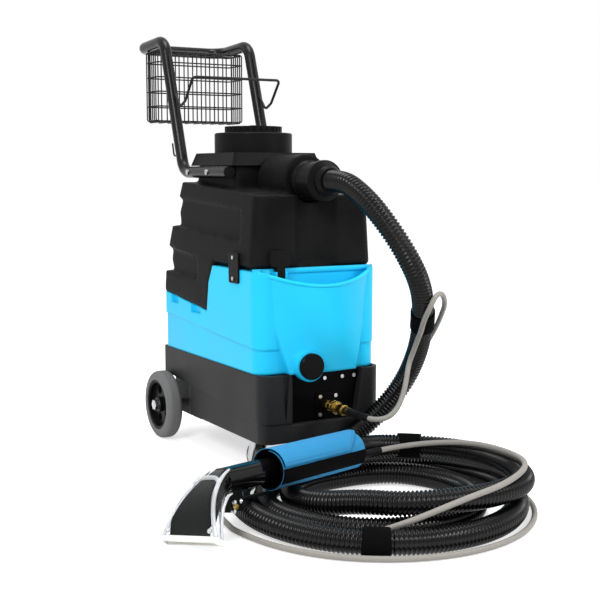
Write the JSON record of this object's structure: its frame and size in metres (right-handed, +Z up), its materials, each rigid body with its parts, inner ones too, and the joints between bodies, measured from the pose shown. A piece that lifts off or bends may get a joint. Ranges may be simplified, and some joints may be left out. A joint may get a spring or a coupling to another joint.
{
  "type": "carpet cleaner machine",
  "caption": "Wheeled carpet and upholstery extractor: blue solution tank, black recovery tank, tube handle with wire basket, coiled vacuum hose, solution line and hand tool.",
  "frame": {"origin": "on the floor, midway across the machine and midway between the hose cuff mouth and the back of the grip", "axes": "+Z up, -Y the machine front where the hose leaves, +X the side of the hose drop"},
  "size_m": [0.7113, 1.2376, 0.9084],
  "materials": {
    "black_plastic": "satin moulded plastic",
    "grained_black": "fine moulded grain",
    "tank_blue": "satin rotomoulded plastic",
    "cap_black": "moulded plastic",
    "tyre_grey": "non-marking rubber",
    "hub_black": "moulded plastic",
    "bright_steel": "bright zinc or chrome",
    "caster_grey": "soft rubber",
    "brass": "turned brass",
    "boot_black": "soft rubber",
    "panel_black": "powder coat",
    "frame_black": "gloss powder coat",
    "wire_black": "powder coat",
    "hose_black": "ribbed vacuum hose",
    "line_grey": "braided solution line",
    "wrap_black": "hook-and-loop band",
    "wrap_blue": "neoprene with cloth face",
    "tube_steel": "brushed case",
    "tube_black": "glossy moulded tube",
    "clear_plastic": "clear moulded head",
    "lip_white": "moulded lip",
    "valve_black": "moulded plastic",
    "inner_grey": "inner part",
    "pipe_white": "plastic pipe",
    "gasket_rubber": "foam rubber",
    "motor_metal": "cast case"
  },
  "bodies": {
    "machine": {"base_housing": "black_plastic", "front_panel": "panel_black", "panel_screws": "bright_steel", "quick_connect_plate": "panel_black", "quick_connect_socket": "brass", "quick_connect_plug": "brass", "line_boot": "boot_black", "wheel_axle": "bright_steel", "axle_nuts": "bright_steel", "caster_plates": "bright_steel", "solution_tank": "tank_blue", "recovery_tank": "grained_black", "tie_straps": "black_plastic", "strap_screws": "bright_steel", "vacuum_cover": "black_plastic", "lid_gasket": "gasket_rubber", "standpipe": "pipe_white", "float_cage": "inner_grey", "vacuum_motor": "motor_metal", "solution_pump": "motor_metal", "heater": "tube_steel", "handle_frame": "frame_black", "handle_plugs": "black_plastic", "handle_bolts": "bright_steel", "wire_basket": "wire_black", "hose_rack": "wire_black", "cord_hooks": "wire_black", "switch_panel": "panel_black", "cord_inlet": "black_plastic", "hose_drop": "hose_black", "hose_coil": "hose_black", "line_drop": "line_grey", "line_coil": "line_grey", "hose_wraps": "wrap_black", "hand_wrap": "wrap_blue", "tool_tube": "tube_black", "tool_head": "clear_plastic", "tool_insert": "boot_black", "tool_lip": "lip_white", "tool_valve": "valve_black"},
    "left_wheel": {"left_wheel_tyre": "tyre_grey", "left_wheel_hub": "hub_black"},
    "right_wheel": {"right_wheel_tyre": "tyre_grey", "right_wheel_hub": "hub_black"},
    "left_caster": {"left_caster_fork": "bright_steel", "left_caster_axle": "bright_steel"},
    "right_caster": {"right_caster_fork": "bright_steel", "right_caster_axle": "bright_steel"},
    "left_roller": {"left_caster_wheel": "caster_grey"},
    "right_roller": {"right_caster_wheel": "caster_grey"},
    "drain_plug": {"drain_cap": "cap_black"},
    "lid": {"access_lid": "black_plastic"},
    "swivel_cuff": {"hose_cuff": "black_plastic"},
    "latch": {"latch_strap": "boot_black"},
    "coupling_sleeve": {"quick_connect_collar": "brass"},
    "vacuum_switch": {"vacuum_rocker": "boot_black"},
    "pump_switch": {"pump_rocker": "boot_black"},
    "heater_switch": {"heater_rocker": "boot_black"},
    "trigger": {"tool_trigger": "valve_black"},
    "float": {"float_ball": "pipe_white"}
  },
  "joints": [
    {"name": "left_wheel_spin", "type": "hinge", "parent": "machine", "child": "left_wheel", "pos_m": [-0.1565, 0.114, 0.076], "axis": [1, 0, 0], "continuous": true},
    {"name": "right_wheel_spin", "type": "hinge", "parent": "machine", "child": "right_wheel", "pos_m": [0.1565, 0.114, 0.076], "axis": [1, 0, 0], "continuous": true},
    {"name": "left_caster_swivel", "type": "hinge", "parent": "machine", "child": "left_caster", "pos_m": [-0.1, -0.25, 0.0637], "axis": [0, 0, 1], "continuous": true},
    {"name": "right_caster_swivel", "type": "hinge", "parent": "machine", "child": "right_caster", "pos_m": [0.1, -0.25, 0.0637], "axis": [0, 0, 1], "continuous": true},
    {"name": "left_caster_roll", "type": "hinge", "parent": "left_caster", "child": "left_roller", "pos_m": [-0.1, -0.234, 0.025], "axis": [1, 0, 0], "continuous": true},
    {"name": "right_caster_roll", "type": "hinge", "parent": "right_caster", "child": "right_roller", "pos_m": [0.1, -0.234, 0.025], "axis": [1, 0, 0], "continuous": true},
    {"name": "drain_cap_turn", "type": "hinge", "parent": "machine", "child": "drain_plug", "pos_m": [-0.038, -0.354, 0.222], "axis": [0, -1, 0], "range_deg": [0, 90]},
    {"name": "lid_turn", "type": "hinge", "parent": "machine", "child": "lid", "pos_m": [0, -0.034, 0.683], "axis": [0, 0, 1], "range_deg": [0, 60]},
    {"name": "hose_cuff_swivel", "type": "hinge", "parent": "machine", "child": "swivel_cuff", "pos_m": [0, -0.3, 0.583], "axis": [0, 1, 0], "continuous": true},
    {"name": "latch_swing", "type": "hinge", "parent": "machine", "child": "latch", "pos_m": [-0.085, -0.311, 0.394], "axis": [1, 0, 0], "range_deg": [0, 45]},
    {"name": "coupling_sleeve_slide", "type": "slide", "parent": "machine", "child": "coupling_sleeve", "axis": [0, 1, 0], "range_m": [0, 0.005], "stiffness_N_per_m": 200},
    {"name": "vacuum_switch_rock", "type": "hinge", "parent": "machine", "child": "vacuum_switch", "pos_m": [-0.018, 0.151, 0.177], "axis": [1, 0, 0], "range_deg": [0, 16]},
    {"name": "pump_switch_rock", "type": "hinge", "parent": "machine", "child": "pump_switch", "pos_m": [0.016, 0.151, 0.177], "axis": [1, 0, 0], "range_deg": [0, 16]},
    {"name": "heater_switch_rock", "type": "hinge", "parent": "machine", "child": "heater_switch", "pos_m": [0.05, 0.151, 0.177], "axis": [1, 0, 0], "range_deg": [0, 16]},
    {"name": "tool_trigger_squeeze", "type": "hinge", "parent": "machine", "child": "trigger", "pos_m": [-0.32822, -0.59612, 0.0578], "axis": [0.3762, -0.9101, 0.1735], "range_deg": [0, 8], "stiffness_Nm_per_rad": 0.05},
    {"name": "float_lift", "type": "slide", "parent": "machine", "child": "float", "axis": [0, 0, 1], "range_m": [0, 0.012]}
  ]
}
